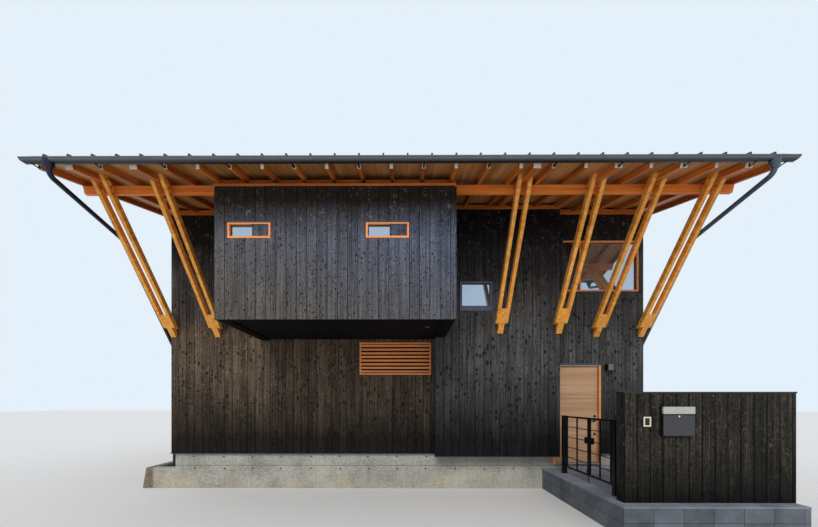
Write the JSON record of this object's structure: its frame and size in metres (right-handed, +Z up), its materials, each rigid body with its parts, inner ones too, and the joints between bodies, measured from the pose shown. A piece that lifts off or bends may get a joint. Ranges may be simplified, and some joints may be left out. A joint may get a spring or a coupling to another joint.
{
  "type": "charred timber house",
  "caption": "Two-storey house clad in charred boards, with a hanging upper box, a bay and a deep eave on paired timber struts, and an entrance step with a gate and a boarded screen.",
  "frame": {"origin": "on the underside of the foundation, on the front wall's grid line, halfway along the house", "axes": "+X to the right along the front, +Y into the house, +Z up"},
  "size_m": [10.803, 11.267, 6.8298],
  "materials": {
    "concrete": "cast, tie holes in rows",
    "charred_board": "charred and brushed",
    "floor_wood": "plain",
    "golden_timber": "planed and oiled",
    "rafter_timber": "stained",
    "plywood": "plain",
    "dark_metal": "satin",
    "black_metal": "satin",
    "window_metal": "satin, anodised",
    "frame_timber": "oiled",
    "door_wood": "oiled",
    "steel": "brushed",
    "clear_glass": "clear",
    "paving": "honed",
    "kerb_block": "cast",
    "pale_plastic": "satin",
    "grey_plastic": "satin",
    "lamp_metal": "satin",
    "dark_soffit": "matt"
  },
  "bodies": {
    "house": {"foundation_raft": "concrete", "plinth_front_and_back": "concrete", "plinth_ends": "concrete", "side_kerb": "concrete", "entrance_floor": "concrete", "entrance_step": "kerb_block", "step_paving": "paving", "ground_floor": "floor_wood", "upper_floor": "floor_wood", "front_wall_lower": "charred_board", "front_wall_upper": "charred_board", "front_wall_head": "charred_board", "wall_over_door": "charred_board", "wall_beside_door": "charred_board", "bay_front": "charred_board", "bay_sides": "charred_board", "box_front": "charred_board", "box_sides": "charred_board", "box_soffit": "dark_soffit", "left_wall": "charred_board", "right_wall": "charred_board", "back_wall": "charred_board", "timber_window_frames": "frame_timber", "bay_window_frame": "window_metal", "window_side_panels": "charred_board", "window_glass": "clear_glass", "louvre": "frame_timber", "rafters_front": "rafter_timber", "rafters_wide": "rafter_timber", "rafters_back": "rafter_timber", "rafter_blocking": "rafter_timber", "wall_top_trims": "rafter_timber", "ridge_beam": "rafter_timber", "roof_boarding_front": "plywood", "roof_boarding_back": "plywood", "roofing_front": "dark_metal", "roofing_back": "dark_metal", "ridge_cap": "dark_metal", "eave_beams": "rafter_timber", "eave_struts": "golden_timber", "strut_feet": "golden_timber", "gutters": "dark_metal", "gutter_brackets": "black_metal", "downpipes": "dark_metal", "door_frame": "frame_timber", "door_hinge_pins": "steel", "entrance_lamp": "lamp_metal", "gate_posts": "black_metal", "fence_boards": "charred_board", "fence_cap": "dark_metal", "mailbox": "grey_plastic", "intercom": "pale_plastic"},
    "door": {"door_leaf": "door_wood", "door_handle": "steel"},
    "gate_a": {"gate_leaf_a": "black_metal"},
    "gate_b": {"gate_leaf_b": "black_metal"}
  },
  "joints": [
    {"name": "door_hinge", "type": "hinge", "parent": "house", "child": "door", "pos_m": [3.051, -0.0375, 1], "axis": [0, 0, -1], "range_deg": [0, 80]},
    {"name": "gate_a_hinge", "type": "hinge", "parent": "house", "child": "gate_a", "pos_m": [3.04, -0.575, 1], "axis": [0, 0, -1], "range_deg": [0, 90]},
    {"name": "gate_b_hinge", "type": "hinge", "parent": "house", "child": "gate_b", "pos_m": [3.04, -2.18, 1], "axis": [0, 0, 1], "range_deg": [0, 90]}
  ]
}
